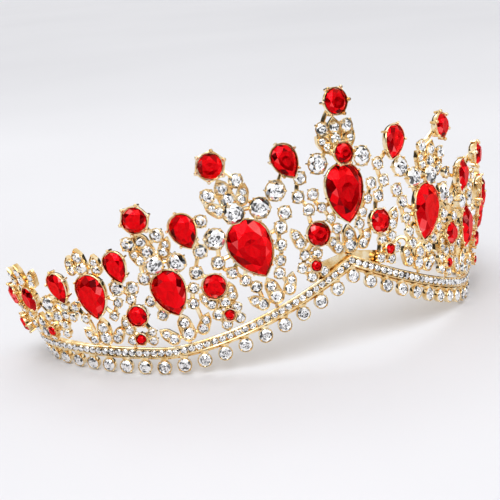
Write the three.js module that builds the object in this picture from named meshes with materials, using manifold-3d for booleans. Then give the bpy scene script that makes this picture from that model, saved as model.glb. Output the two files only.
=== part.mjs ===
// An open horseshoe crown for hair: a stone-set band with a raised point in front, a fringe of
// drops under it, and nine fanned ornaments with stone-set lattices between them.
import * as THREE from "three";
import { ConvexGeometry } from "three/addons/geometries/ConvexGeometry.js";
import { mergeVertices } from "three/addons/utils/BufferGeometryUtils.js";
import Module from "manifold-3d";

const wasm = await Module();
wasm.setup();

// ---- Driving dimensions, in millimetres and radians ----
// The ornaments stand on a curved sheet. A place on it is (u, w, off): u runs along the band from
// the front centre, w runs up from the middle of the band at its low sides, off stands out of it.
const HALF_LENGTH = 124; // band, from the front centre to each end
const BEND = 0.0098; // turn of the band per mm at the front
const BEND_GROWTH = 0.00003; // extra turn towards the ends
const END_BEND = 0.001; // more turn past END_START, where the ends curl in
const END_START = 98;
const LEAN_FRONT = -0.142; // the front leans in
const LEAN_GROWTH = 0.405; // the ends lean out
const PEAK_HEIGHT = 21; // rise of the band at the front centre
const PEAK_HALF_WIDTH = 62;
const PEAK_POWER = 1.4;

const BAND_HEIGHT = 3.2;
const BAND_BACK = -0.8;
const BAND_FRONT = 1.4;
const CHANNEL_HEIGHT = 2.2;
const CHANNEL_DEPTH = 0.9;
const BAND_STEP = 6.2;
const PLATE_REACH = 12; // gusset behind the point of the band: reach to each side of the point
const PLATE_TOP = 24.2; // its upper edge over the point
const PLATE_END = 22; // and at its reach
const PLATE_FRONT = -0.1;

const GAP = 0.3; // between pieces that meet
const DROP_PITCH = 6.3;
const DROPS_PER_SIDE = 19;
const DROP_FALL = 4.8; // from the middle of the band to the middle of a drop
const DROP_RADIUS = 2.3;
const DROP_NECK = 0.8; // half width of the stem where it meets its rail
const DROP_BACK = -0.6;
const DROP_FRONT = 1.6;
const FRINGE_RAIL_HEIGHT = 0.7;

const SHEET_BACK = 0.2; // back of every cup
const WIRE_BACK = 0.5;
const WIRE = 1.1; // lattice wire
const LEAST_OVERLAP = 1.2; // of two cups that hold together without a wire
const FOOT_GAP = 0.45; // a foot ends square, over a band that may slope
const CUP_WALL = 0.25; // round a clear stone
const CUP_FRONT = 2.4; // table of a clear stone
const BIG_STONE = 4.5; // clear stones from this size up stand higher and rounder
const BIG_CUP_FRONT = 3.3;
const TABLE = 0.6; // table of a stone, as a share of its width
const BEZEL_WALL = 0.35;
const BEZEL_LIP = 0.5; // above the back of a red stone
const HIGH_BACK = 4; // cups of red stones from this height up narrow towards the sheet
const STEM = 0.7; // to this share of their outline

const LOOP_RADIUS = 3.2;
const LOOP_HOLE = 1.5;
const LOOP_THICKNESS = 1.2;
const LOOP_REACH = 2.6; // middle of the loop past the end of the band

// Red stones: width, height, back above the sheet, crown above the back.
const PEAR_LARGE = { width: 13, height: 18, back: 2.2, crown: 2.2 };
const PEAR_MIDDLE = { width: 10, height: 14, back: 2.2, crown: 2 };
const PEAR_SMALL = { width: 6.5, height: 8, back: 2.2, crown: 1.6 };
const DROP_LARGE = { width: 7.5, height: 10.5, back: 4.4, crown: 1.7 };
const DROP_SMALL = { width: 6.5, height: 9.5, back: 4, crown: 1.5 };
const DROP_TAIL = { width: 5, height: 7, back: 2.4, crown: 1.3 };
const ROUND_8 = { width: 7.5, height: 7.5, back: 4.1, crown: 1.6 };
const ROUND_7 = { width: 7, height: 7, back: 2.6, crown: 1.6 };
const ROUND_6 = { width: 6, height: 6, back: 3, crown: 1.4 };
const ROUND_6_HIGH = { width: 6, height: 6, back: 4.5, crown: 1.4 };
const ROUND_3 = { width: 3, height: 3, back: 2.8, crown: 1 };

// Clear stones are given as x, y and diameter. Six numbers are a leaf: one cell of two stones.
// These three leaves stand at the foot of most ornaments, with y up from the band.
const FOOT_LEAF = [0, 8.4, 3.4, 0, 4.9, 4];
const FOOT_SIDE_LEAF = [6.4, 6.9, 2.4, 4.7, 4.8, 3];
const SMALL_FOOT_SIDE_LEAF = [5.4, 6.6, 2.2, 4, 4.6, 2.8];

// Ornaments: place of the foot on the band, lean along the sheet in degrees, red stones over the
// foot, and clear stones. The "paired" ones stand on both sides of the axis; the "single" ones
// stand once, with x away from the front of the crown.
const UNITS = [
  {
    at: 0,
    lean: 0,
    reds: [["pear", PEAR_LARGE, 21.2], ["top", ROUND_8, 49.3], ["second", ROUND_6_HIGH, 33.5]],
    paired: [
      FOOT_SIDE_LEAF, [4.3, 10.8, 3, 6.1, 14.2, 2.6], [8.8, 18, 2.8, 11.3, 22.4, 3.4], [8.6, 31.4, 6],
      [4.9, 41.5, 4], [5.4, 37.6, 2.6, 3.8, 35.7, 3],
    ],
    single: [[0, 41.4, 3.8, 0, 37.8, 3.8]],
  },
  {
    at: 25.3,
    lean: 22,
    reds: [["pear", PEAR_LARGE, 21.6], ["top", ROUND_8, 49.8]],
    paired: [
      FOOT_SIDE_LEAF, [4.1, 10.6, 3.2, 6.2, 13.9, 3], [8.6, 17.9, 3.2, 11, 22.6, 3.8],
      [4.9, 42, 4], [5.4, 38.1, 2.6, 3.9, 36.2, 3.2],
    ],
    single: [
      [0, 41.9, 3.8, 0, 38, 4.4], [0.2, 33.8, 6.2], [-7.8, 31.2, 6.2], [8.6, 29.6, 6.2],
      [-14.3, 25.8, 4],
    ],
  },
  {
    at: 53,
    lean: 17.5,
    reds: [["pear", PEAR_MIDDLE, 18.7], ["top", ROUND_8, 43.4]],
    paired: [FOOT_SIDE_LEAF, [4.9, 13, 3]],
    single: [
      [2.3, 36.3, 3.6, 1.6, 32.8, 4.2], [-2.9, 36.4, 4], [5.8, 37, 4], [-4.2, 33, 2.4, -2.7, 31, 3],
      [5.5, 33.2, 2.2, 4.4, 31, 2.8], [1.2, 28.4, 5.6], [-5.2, 26.7, 5.4], [5.6, 25.4, 3.6],
      [-6.7, 17.4, 3], [6.7, 18.2, 2.8],
    ],
  },
  {
    at: 80,
    lean: 6.5,
    reds: [["pear", PEAR_MIDDLE, 19.1]],
    paired: [SMALL_FOOT_SIDE_LEAF, [4.9, 11.9, 2.6, 7.2, 16, 2.6]],
    single: [
      [1.4, 31.8, 3, 1, 28.3, 3.8], [4.3, 30.4, 2.2, 4.2, 28.2, 2.6], [-3.2, 29.6, 2.4, -3.4, 27.2, 2.8],
    ],
  },
  {
    at: 104.3,
    lean: 2,
    reds: [["pear", PEAR_SMALL, 17.1]],
    paired: [[4.2, 10.6, 2.6]],
    single: [
      [1.4, 26.3, 2.6, 1, 23.3, 3.2], [-3.5, 24.9, 2.2, -2.8, 22.6, 2.6], [4.8, 25.2, 2.2, 4.4, 22.8, 2.6],
      [4.6, 7.4, 2.2, 4, 5, 2.6],
    ],
  },
];

// Lattices between the ornaments: red stones with their place (u, w) and lean, and clear stones
// and pairs in one cell round them, in u and w. The last one is the tail past the last ornament.
const LATTICES = [
  {
    reds: [
      ["drop", DROP_LARGE, 20.6, 54.8, 24], ["side", ROUND_7, 11.6, 31.4, 0], ["bud", ROUND_3, 13.8, 22, 0],
    ],
    stones: [
      [24.2, 46.4, 6], [15.2, 49, 3.8], [16.6, 43.4, 3.6, 13.4, 39, 3.4],
      [18.9, 32, 2.4, 17.6, 29.4, 3], [16.6, 25.6, 3], [12.4, 25.4, 3],
      [17.8, 21.8, 3, 15, 18.7, 3], [10.8, 19.8, 2.8],
    ],
  },
  {
    reds: [
      ["drop", DROP_LARGE, 52.9, 38, 22], ["side", ROUND_7, 45.6, 20.2, 0], ["bud", ROUND_3, 41.8, 11.1, 0],
    ],
    stones: [
      [48.2, 40, 3.6], [49, 31, 4], [50.7, 24.6, 3.8], [40.9, 18.6, 2.2, 40.6, 16.6, 2.6],
      [48.7, 16.4, 2.4, 46.8, 14.6, 2.8], [42.9, 14.8, 3], [39.6, 13, 2.8], [45.2, 11.2, 3],
      [42.8, 8, 2.8, 38.8, 9.6, 2.8],
    ],
  },
  {
    reds: [
      ["drop", DROP_SMALL, 72.8, 28.8, 18], ["side", ROUND_6, 68.7, 12.8, 0], ["bud", ROUND_3, 68.4, 5.3, 0],
    ],
    stones: [
      [74.6, 21.3, 4.4], [69.8, 21.3, 3.6], [70.6, 17.6, 2.8], [73.2, 10, 2.2, 72.2, 7.7, 2.6],
      [71.6, 4.4, 2.6], [65.3, 7, 2.4, 65.2, 4.4, 2.6],
    ],
  },
  {
    reds: [["drop", DROP_SMALL, 91.2, 22.6, 17], ["bud", ROUND_3, 99.4, 6.5, 0]],
    stones: [
      [98, 16.3, 4.6], [92.7, 15.4, 2.8], [90.6, 11.6, 2.6, 93.2, 12.2, 2.8], [96.6, 11.3, 3.4],
      [94.4, 8.4, 2.6, 94.8, 5.4, 2.6], [100.9, 3.5, 2.2],
    ],
  },
  {
    reds: [["drop", DROP_TAIL, 111.8, 17.6, 6], ["side", ROUND_6, 115.4, 6.3, 0]],
    stones: [[112.6, 11.8, 2.6], [117, 11.6, 2.8], [120.3, 7.4, 2.2, 120.3, 4.8, 2.4]],
  },
];

// ---- The sheet ----
const curl = (u) => END_BEND * Math.max(0, Math.abs(u) - END_START) ** 2;
const turn = (u) => BEND * Math.abs(u) + BEND_GROWTH * u * u + curl(u);
const bandRise = (u) => PEAK_HEIGHT * Math.max(0, 1 - Math.abs(u) / PEAK_HALF_WIDTH) ** PEAK_POWER;
const bandSlope = (u) => (bandRise(u + 0.01) - bandRise(u)) / 0.01;

function centreLine(u) {
  const steps = 64;
  const side = Math.sign(u) || 1;
  const step = Math.abs(u) / steps;
  let x = 0;
  let y = 0;
  for (let i = 0; i < steps; i++) {
    const angle = turn((i + 0.5) * step);
    x += Math.cos(angle) * step;
    y += Math.sin(angle) * step;
  }
  return new THREE.Vector3(side * x, y, 0);
}

// Axes of the sheet at u: along the band, up the sheet and straight out of it.
function sheetAxes(u) {
  const side = Math.sign(u) || 1;
  const angle = turn(u);
  const lean = LEAN_FRONT + LEAN_GROWTH * (u / 100) ** 2;
  const level = new THREE.Vector3(side * Math.sin(angle), -Math.cos(angle), 0);
  const vertical = new THREE.Vector3(0, 0, 1);
  const up = level.clone().multiplyScalar(Math.sin(lean)).addScaledVector(vertical, Math.cos(lean));
  const out = level.clone().multiplyScalar(Math.cos(lean)).addScaledVector(vertical, -Math.sin(lean));
  const along = new THREE.Vector3().crossVectors(up, out);
  return { along, up, out };
}

function place(u, w, off) {
  const { up, out } = sheetAxes(u);
  return centreLine(u).addScaledVector(up, w).addScaledVector(out, off);
}

// The matrix that stands a shape, drawn in x and y with z outwards, on the sheet at (u, w). A
// lean in degrees turns its top towards larger u.
function stand(u, w, lean = 0) {
  const { along, up, out } = sheetAxes(u);
  const matrix = new THREE.Matrix4().makeBasis(along, up, out).setPosition(place(u, w, 0));
  return matrix.multiply(new THREE.Matrix4().makeRotationZ(-THREE.MathUtils.degToRad(lean)));
}

// ---- Solids ----
function solidOf(geometry) {
  geometry.deleteAttribute("normal");
  geometry.deleteAttribute("uv");
  const merged = mergeVertices(geometry, 1e-4);
  const mesh = new wasm.Mesh({
    numProp: 3,
    vertProperties: new Float32Array(merged.attributes.position.array),
    triVerts: new Uint32Array(merged.index.array),
  });
  return new wasm.Manifold(mesh);
}

function geometryOf(solid) {
  const mesh = solid.getMesh();
  const geometry = new THREE.BufferGeometry();
  geometry.setAttribute("position", new THREE.BufferAttribute(mesh.vertProperties, 3));
  geometry.setIndex(new THREE.BufferAttribute(mesh.triVerts, 1));
  const flat = geometry.toNonIndexed();
  flat.computeVertexNormals();
  return flat;
}

const joined = (solids) => solids.reduce((all, one) => all.add(one));

function prism(outline, low, high) {
  const shape = new THREE.Shape(outline);
  return new THREE.ExtrudeGeometry(shape, { depth: high - low, bevelEnabled: false }).translate(0, 0, low);
}

function polygon(radius, sides) {
  const points = [];
  for (let i = 0; i < sides; i++) {
    const angle = ((i + 0.5) / sides) * 2 * Math.PI - Math.PI / 2;
    points.push(new THREE.Vector2(radius * Math.cos(angle), radius * Math.sin(angle)));
  }
  return points;
}

// A pear outline with its point down: a half circle over two arcs that meet at the point. Its
// middle is the middle of its height. "grow" moves the outline outwards.
function pear(width, height, grow = 0) {
  const radius = width / 2;
  const fall = height - radius;
  const arcOffset = (fall * fall - radius * radius) / width;
  const arcRadius = arcOffset + radius;
  const tipAngle = Math.asin(fall / arcRadius);
  const centreY = height / 2 - radius;
  const roundSteps = 4;
  const sideSteps = 3;
  const half = [];
  for (let i = 0; i <= roundSteps / 2; i++) {
    const angle = Math.PI / 2 - (i / roundSteps) * Math.PI;
    half.push([(radius + grow) * Math.cos(angle), centreY + (radius + grow) * Math.sin(angle)]);
  }
  for (let i = 1; i < sideSteps; i++) {
    const angle = -tipAngle * (i / sideSteps);
    const reach = arcRadius + grow;
    half.push([reach * Math.cos(angle) - arcOffset, centreY + reach * Math.sin(angle)]);
  }
  const outline = half.map(([x, y]) => new THREE.Vector2(x, y));
  outline.push(new THREE.Vector2(0, -height / 2 - grow * 1.1));
  for (const [x, y] of half.slice(1).reverse()) outline.push(new THREE.Vector2(-x, y));
  return outline.reverse();
}

function redOutline(cut, grow = 0) {
  if (cut.height > cut.width) return pear(cut.width, cut.height, grow);
  return polygon(cut.width / 2 + grow, cut.width > 4 ? 8 : 6);
}

// A flat-backed cut stone: its outline at the back, drawn in to a table in front.
function cutStone(cut) {
  const points = [];
  for (const p of redOutline(cut)) {
    points.push(new THREE.Vector3(p.x, p.y, cut.back));
    points.push(new THREE.Vector3(TABLE * p.x, TABLE * p.y, cut.back + cut.crown));
  }
  return new ConvexGeometry(points);
}

// The cup of a red stone, on a narrower stem if the stone is high, and the room that its stone
// takes up in it.
function redCup(cut, matrix) {
  const rim = redOutline(cut, GAP + BEZEL_WALL);
  const share = cut.back < HIGH_BACK ? 1 : STEM;
  const back = rim.map((p) => new THREE.Vector3(share * p.x, share * p.y, SHEET_BACK));
  const girdle = rim.map((p) => new THREE.Vector3(p.x, p.y, cut.back - BEZEL_LIP));
  const front = rim.map((p) => new THREE.Vector3(p.x, p.y, cut.back + BEZEL_LIP));
  return solidOf(new ConvexGeometry([...back, ...girdle, ...front]).applyMatrix4(matrix));
}

function redPocket(cut, matrix) {
  const room = prism(redOutline(cut, GAP), cut.back - GAP, cut.back + cut.crown);
  return solidOf(room.applyMatrix4(matrix));
}

// The outline of a clear stone's cup at the back of the sheet and its table in front.
function cupPoints(x, y, diameter) {
  const big = diameter > BIG_STONE;
  const front = big ? BIG_CUP_FRONT : CUP_FRONT;
  const sides = big ? 6 : 5;
  const back = polygon(diameter / 2 + CUP_WALL, sides);
  const table = polygon((TABLE * diameter) / 2, sides);
  return [
    ...back.map((p) => new THREE.Vector3(p.x + x, p.y + y, SHEET_BACK)),
    ...table.map((p) => new THREE.Vector3(p.x + x, p.y + y, front)),
  ];
}

// A clear stone with the cup that it is glued in, or a leaf with its two stones.
function clearCup({ u, w, points }) {
  return solidOf(new ConvexGeometry(points).applyMatrix4(stand(u, w)));
}

// A seat is a place that wires run to, with the radius that its cup covers.
function stoneSeat(u, w, diameter) {
  return { u, w, radius: diameter / 2 + CUP_WALL, points: cupPoints(0, 0, diameter) };
}

// A three-sided wire between two seats, flat at the back.
function wire(from, to) {
  const a = place(from.u, from.w, WIRE_BACK);
  const b = place(to.u, to.w, WIRE_BACK);
  const { out } = sheetAxes((from.u + to.u) / 2);
  const across = new THREE.Vector3().crossVectors(out, b.clone().sub(a)).normalize();
  const points = [];
  for (const end of [a, b]) {
    points.push(end.clone().addScaledVector(across, WIRE / 2));
    points.push(end.clone().addScaledVector(across, -WIRE / 2));
    points.push(end.clone().addScaledVector(out, WIRE));
  }
  return solidOf(new ConvexGeometry(points));
}

// The shortest set of wires that joins all the seats. Cups that overlap need none.
function latticeWires(seats) {
  const reached = [seats[0]];
  const waiting = seats.slice(1);
  const wires = [];
  while (waiting.length) {
    let best = { gap: Infinity };
    for (const a of reached) {
      for (const b of waiting) {
        const gap = Math.hypot(a.u - b.u, a.w - b.w) - a.radius - b.radius;
        if (gap < best.gap) best = { gap, a, b };
      }
    }
    if (best.gap > -LEAST_OVERLAP) wires.push(wire(best.a, best.b));
    reached.push(best.b);
    waiting.splice(waiting.indexOf(best.b), 1);
  }
  return wires;
}

// A foot from a seat straight down to just above the band.
function foot(seat) {
  const top = bandRise(seat.u) + BAND_HEIGHT / 2 / Math.cos(Math.atan(bandSlope(Math.abs(seat.u))));
  return wire(seat, { u: seat.u, w: top + FOOT_GAP });
}

// ---- Meshes ----
const GOLD = { color: 0xe6c48c, metalness: 1, roughness: 0.22 };
const RED = { color: 0xcc0010, metalness: 0.1, roughness: 0.08 };
const crown = new THREE.Group();

function addPiece(name, geometry, look) {
  const mesh = new THREE.Mesh(geometry, new THREE.MeshStandardMaterial(look));
  mesh.name = name;
  crown.add(mesh);
}

function addRed(name, cut, matrix) {
  addPiece(name, geometryOf(solidOf(cutStone(cut).applyMatrix4(matrix))), RED);
}

// A body between matching rings of points, closed at both ends.
function loft(rings, section) {
  const count = section.length;
  const points = rings.flat();
  const index = [];
  for (let r = 0; r + 1 < rings.length; r++) {
    for (let i = 0; i < count; i++) {
      const a = r * count + i;
      const b = r * count + ((i + 1) % count);
      index.push(a, a + count, b);
      index.push(b, a + count, b + count);
    }
  }
  const last = (rings.length - 1) * count;
  for (const [a, b, c] of THREE.ShapeUtils.triangulateShape(section, [])) {
    index.push(a, b, c);
    index.push(last + a, last + c, last + b);
  }
  const geometry = new THREE.BufferGeometry().setFromPoints(points);
  geometry.setIndex(index);
  return solidOf(geometry);
}

// A section, drawn with x outwards and y up, carried along the band.
function alongBand(section) {
  const rings = [];
  const steps = Math.round(HALF_LENGTH / BAND_STEP);
  for (let i = -steps; i <= steps; i++) {
    const u = i * BAND_STEP;
    const stretch = 1 / Math.cos(Math.atan(bandSlope(Math.abs(u))));
    rings.push(section.map((p) => place(u, bandRise(u) + p.y * stretch, p.x)));
  }
  return loft(rings, section);
}

const points2 = (pairs) => pairs.map(([x, y]) => new THREE.Vector2(x, y));

function endLoop(side) {
  const shape = new THREE.Shape(polygon(LOOP_RADIUS, 12));
  shape.holes.push(new THREE.Path(polygon(LOOP_HOLE, 8).reverse()));
  const ring = new THREE.ExtrudeGeometry(shape, { depth: LOOP_THICKNESS, bevelEnabled: false });
  ring.translate(side * LOOP_REACH, 0, -LOOP_THICKNESS / 2);
  return solidOf(ring.applyMatrix4(stand(side * HALF_LENGTH, 0)));
}

// One half of the gusset over the point of the band, behind the ornament.
function gusset(side) {
  const reach = side * PLATE_REACH;
  const corners = [[reach, bandRise(reach)], [0, PEAK_HEIGHT], [0, PLATE_TOP], [reach, PLATE_END]];
  const points = [];
  for (const off of [BAND_BACK, PLATE_FRONT]) {
    for (const [u, w] of corners) points.push(place(u, w, off));
  }
  return solidOf(new ConvexGeometry(points));
}

function band() {
  const half = BAND_HEIGHT / 2;
  const channel = CHANNEL_HEIGHT / 2;
  const floor = BAND_FRONT - CHANNEL_DEPTH;
  const section = points2([
    [BAND_BACK, -half], [BAND_FRONT, -half], [BAND_FRONT, -channel], [floor, -channel],
    [floor, channel], [BAND_FRONT, channel], [BAND_FRONT, half], [BAND_BACK, half],
  ]);
  return joined([alongBand(section), gusset(-1), gusset(1), endLoop(-1), endLoop(1)]);
}

// A drop with its stem, as one tapered piece: a flat-bottomed hexagon under a narrow neck.
function dropCup(u) {
  const neck = DROP_FALL - BAND_HEIGHT / 2 - GAP - FRINGE_RAIL_HEIGHT / 2;
  const hexagon = polygon(DROP_RADIUS, 6);
  const outline = [...hexagon, new THREE.Vector2(DROP_NECK, neck), new THREE.Vector2(-DROP_NECK, neck)];
  const back = outline.map((p) => new THREE.Vector3(p.x, p.y, DROP_BACK));
  const front = hexagon.map((p) => new THREE.Vector3(TABLE * p.x, TABLE * p.y, DROP_FRONT));
  const shape = new ConvexGeometry([...back, ...front]);
  return solidOf(shape.applyMatrix4(stand(u, bandRise(u) - DROP_FALL)));
}

function fringe() {
  const top = -BAND_HEIGHT / 2 - GAP;
  const low = top - FRINGE_RAIL_HEIGHT;
  const rail = alongBand(points2([[-0.9, low], [0.9, low], [0.9, top], [-0.9, top]]));
  const drops = [];
  for (let i = -DROPS_PER_SIDE; i <= DROPS_PER_SIDE; i++) drops.push(dropCup(i * DROP_PITCH));
  return joined([rail, ...drops]);
}

const flipped = (stone) => stone.map((value, i) => (i % 3 === 0 ? -value : value));

// The leaves and stones of one ornament, both halves, with x and y from its foot.
function unitStones({ paired, single }) {
  return [FOOT_LEAF, ...paired, ...paired.map(flipped), ...single];
}

// A cell of two stones stands at the second one; wires run to the middle of the two.
function leafSeat([u1, w1, d1, u2, w2, d2]) {
  const small = cupPoints(u1 - u2, w1 - w2, d1);
  return { u: u2, w: w2, radius: d2 / 2 + CUP_WALL, points: [...small, ...cupPoints(0, 0, d2)] };
}

const seatOf = (stone) => (stone.length === 6 ? leafSeat(stone) : stoneSeat(...stone));

// One cast piece: its clear seats, the cups of its red stones, wires and feet. The red stones
// are pieces of their own.
function addFrame(name, suffix, seats, reds, feet) {
  const solids = seats.map(clearCup);
  const pockets = [];
  for (const [kind, cut, u, w, lean] of reds) {
    const matrix = stand(u, w, lean);
    solids.push(redCup(cut, matrix));
    pockets.push(redPocket(cut, matrix));
    seats.push({ u, w, radius: cut.width / 2 });
    addRed(`${kind}_stone${suffix}`, cut, matrix);
  }
  solids.push(...feet.map(foot), ...latticeWires(seats));
  const frame = joined(solids).subtract(joined(pockets));
  addPiece(name + suffix, geometryOf(frame), GOLD);
}

function unitParts(unit, side) {
  const lean = THREE.MathUtils.degToRad(unit.lean);
  const base = bandRise(unit.at);
  const spot = (x, y) => [
    side * (unit.at + x * Math.cos(lean) + y * Math.sin(lean)),
    base - x * Math.sin(lean) + y * Math.cos(lean),
  ];
  const onSheet = (stone) => {
    const placed = [];
    for (let i = 0; i < stone.length; i += 3) placed.push(...spot(stone[i], stone[i + 1]), stone[i + 2]);
    return placed;
  };
  const seats = unitStones(unit).map((stone) => seatOf(onSheet(stone)));
  const reds = unit.reds.map(([kind, cut, y]) => [kind, cut, ...spot(0, y), side * unit.lean]);
  return { seats, reds, feet: seats.slice(0, 1) };
}

function latticeParts(lattice, side) {
  const onSide = (stone) => stone.map((value, i) => (i % 3 === 0 ? side * value : value));
  const seats = lattice.stones.map((stone) => seatOf(onSide(stone)));
  const reds = lattice.reds.map(([kind, cut, u, w, lean]) => [kind, cut, side * u, w, side * lean]);
  const height = (seat) => seat.w - bandRise(seat.u);
  const lowest = seats.reduce((low, seat) => (height(seat) < height(low) ? seat : low));
  return { seats, reds, feet: [lowest] };
}

addPiece("band", geometryOf(band()), GOLD);
addPiece("drop_fringe", geometryOf(fringe()), GOLD);
const centre = unitParts(UNITS[0], 1);
addFrame("ornament", "_centre", centre.seats, centre.reds, centre.feet);
for (const [side, word] of [[-1, "left"], [1, "right"]]) {
  for (let i = 1; i < UNITS.length; i++) {
    const unit = unitParts(UNITS[i], side);
    const lattice = latticeParts(LATTICES[i - 1], side);
    addFrame("lattice", `_${word}_${i}`, lattice.seats, lattice.reds, lattice.feet);
    if (i < UNITS.length - 1) {
      addFrame("ornament", `_${word}_${i}`, unit.seats, unit.reds, unit.feet);
      continue;
    }
    const tail = latticeParts(LATTICES[i], side);
    const tailReds = tail.reds.map(([kind, ...rest]) => ["tail_" + kind, ...rest]);
    const seats = [...unit.seats, ...tail.seats];
    addFrame("ornament", `_${word}_${i}`, seats, [...unit.reds, ...tailReds], [...unit.feet, ...tail.feet]);
  }
}

// The origin is the middle of the footprint, at the height of the lowest drops.
const box = new THREE.Box3().setFromObject(crown);
crown.position.set(-(box.min.x + box.max.x) / 2, -(box.min.y + box.max.y) / 2, -box.min.z);

export default crown;
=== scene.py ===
import math
import random

import bmesh
import bpy
from mathutils import Matrix, Vector


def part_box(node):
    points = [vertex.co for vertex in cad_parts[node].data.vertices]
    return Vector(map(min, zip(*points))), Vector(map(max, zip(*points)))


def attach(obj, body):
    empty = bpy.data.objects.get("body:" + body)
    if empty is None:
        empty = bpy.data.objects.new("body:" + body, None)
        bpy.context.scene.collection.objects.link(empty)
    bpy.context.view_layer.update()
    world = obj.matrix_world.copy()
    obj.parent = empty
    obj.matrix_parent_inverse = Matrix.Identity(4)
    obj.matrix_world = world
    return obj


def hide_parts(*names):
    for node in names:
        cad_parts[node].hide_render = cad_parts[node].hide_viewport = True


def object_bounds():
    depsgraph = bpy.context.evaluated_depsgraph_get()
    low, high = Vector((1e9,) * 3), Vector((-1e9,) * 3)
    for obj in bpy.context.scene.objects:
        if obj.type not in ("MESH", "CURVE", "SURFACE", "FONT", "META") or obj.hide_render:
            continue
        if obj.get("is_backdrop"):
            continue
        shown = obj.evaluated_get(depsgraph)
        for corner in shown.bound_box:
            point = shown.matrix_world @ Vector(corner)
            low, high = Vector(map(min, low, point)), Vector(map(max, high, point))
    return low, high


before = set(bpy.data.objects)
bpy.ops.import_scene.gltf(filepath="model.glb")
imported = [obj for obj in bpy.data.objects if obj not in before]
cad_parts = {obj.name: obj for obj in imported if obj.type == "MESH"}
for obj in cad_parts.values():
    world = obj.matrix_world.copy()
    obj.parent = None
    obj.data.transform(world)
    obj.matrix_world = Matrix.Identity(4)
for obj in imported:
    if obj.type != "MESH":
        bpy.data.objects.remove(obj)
cad_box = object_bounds()

MM = 0.001

# ---- The sheet that the ornaments stand on, in millimetres and radians, as in the CAD part ----
# A place on it is (u, w, off): u runs along the band from the front centre, w runs up from the
# middle of the band at its low sides, off stands out of the sheet.
HALF_LENGTH = 124
BEND = 0.0098  # turn of the band per mm at the front
BEND_GROWTH = 0.00003
END_BEND = 0.001  # more turn past END_START, where the ends curl in
END_START = 98
LEAN_FRONT = -0.142  # the front leans in
LEAN_GROWTH = 0.405  # the ends lean out
PEAK_HEIGHT = 21  # rise of the band at the front centre
PEAK_HALF_WIDTH = 62
PEAK_POWER = 1.4

BAND_HEIGHT = 3.2
BAND_BACK = -0.8
BAND_FRONT = 1.4
PLATE_REACH = 12  # plate behind the point of the band: reach to each side of the point
PLATE_TOP = 24.2
PLATE_END = 22
PLATE_FRONT = -0.1
DROP_PITCH = 6.3
DROPS_PER_SIDE = 19
DROP_FALL = 4.8  # from the middle of the band to the middle of a drop
DROP_RADIUS = 2.3
LOOP_REACH = 2.6  # middle of the loop past the end of the band

# ---- Castings, in millimetres ----
CUP_BACK = 0.2  # back of every cup above the sheet
CUP_WALL = 0.25
GLASS_GROWTH = 0.2  # a clear stone on its own is this much wider than the table of places says
PRONG_SEAT = 0.1  # how far outside its stone a prong stands
WIRE_OFF = 1  # middle of a wire above the sheet
WIRE_RADIUS = 0.68
WIRE_BOW = 0.5
FULL_BOW_SPAN = 6  # wires over this length bow in full
WIRED_GAP = 2.6  # seats with a smaller gap between them get a wire of their own
FOOT_OFF = 0.8
CLEAR_FRONT = 2.5  # table of a clear stone above the sheet
BIG_CLEAR = 4.5  # clear stones over this size have more facets and stand higher
BIG_CLEAR_FRONT = 3.5
SMALL_RED = 4  # red stones under this width are the buds of the flowers
WIDE_RED = 9  # red stones over this width have more facets and prongs
HIGH_BACK = 4  # red stones from this height up stand in cups that wires hold out of the sheet
HIGH_WIRE = 1.9  # below the back of a high stone, where its wires hold the cup
SMOOTH_ANGLE = 38  # edges of the metal under this angle, in degrees, are smooth

# ---- Band, fringe and end loops, in millimetres ----
BAND_STEP = 1.55  # between the rings of points along the band
BAND_RAIL = 0.3  # radius of the round rail at each edge of the band
BAND_INSET = 0.4  # of the band's back from its edges
BAND_FLOOR = 0.35  # floor of the channel between the rails
BAND_STONE = 2.3
BAND_STONE_PITCH = 2.35
BAND_STONE_GIRDLE = 1.2
BAND_STONE_CROWN = 0.42
BAND_STONE_BACK = 0.4
BAND_ROW_END = 1.5  # least distance from the last stone's middle to the end of the band
BAND_BALL = 0.24
BAND_BALL_REACH = 0.95  # from the middle of the band to the balls between its stones
BAND_BALL_FRONT = 1.35
LOOP_RADIUS = 2.35  # to the middle of the ring's section
LOOP_WIDTH = 0.8  # half that section, in the sheet
LOOP_DEPTH = 0.6  # and out of it
GAP = 0.3  # between the band and the rail of the fringe
FRINGE_RAIL = 0.55
DROP_GIRDLE = 0.95
DROP_CROWN = 0.62
DROP_STONE_BACK = -0.2
DROP_WALL = 0.25  # the stone is this much smaller in radius than the CAD's drop
DROP_BALL = 0.26

# Red stones: width, height, back above the sheet, crown above the back.
PEAR_LARGE = (13, 18, 2.2, 2.2)
PEAR_MIDDLE = (10, 14, 2.2, 2)
PEAR_SMALL = (6.5, 8, 2.2, 1.6)
DROP_LARGE = (7.5, 10.5, 4.4, 1.7)
DROP_SMALL = (6.5, 9.5, 4, 1.5)
DROP_TAIL = (5, 7, 2.4, 1.3)
ROUND_8 = (7.5, 7.5, 4.1, 1.6)
ROUND_7 = (7, 7, 2.6, 1.6)
ROUND_6 = (6, 6, 3, 1.4)
ROUND_6_HIGH = (6, 6, 4.5, 1.4)
ROUND_3 = (3, 3, 2.8, 1)
CAD_TABLE = 0.6  # table of the CAD's stones, as a share of their outline

# Clear stones are x, y and diameter. Six numbers are a leaf: one cell of two stones.
FOOT_LEAF = (0, 8.4, 3.4, 0, 4.9, 4)
FOOT_SIDE_LEAF = (6.4, 6.9, 2.4, 4.7, 4.8, 3)
SMALL_FOOT_SIDE_LEAF = (5.4, 6.6, 2.2, 4, 4.6, 2.8)

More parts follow.
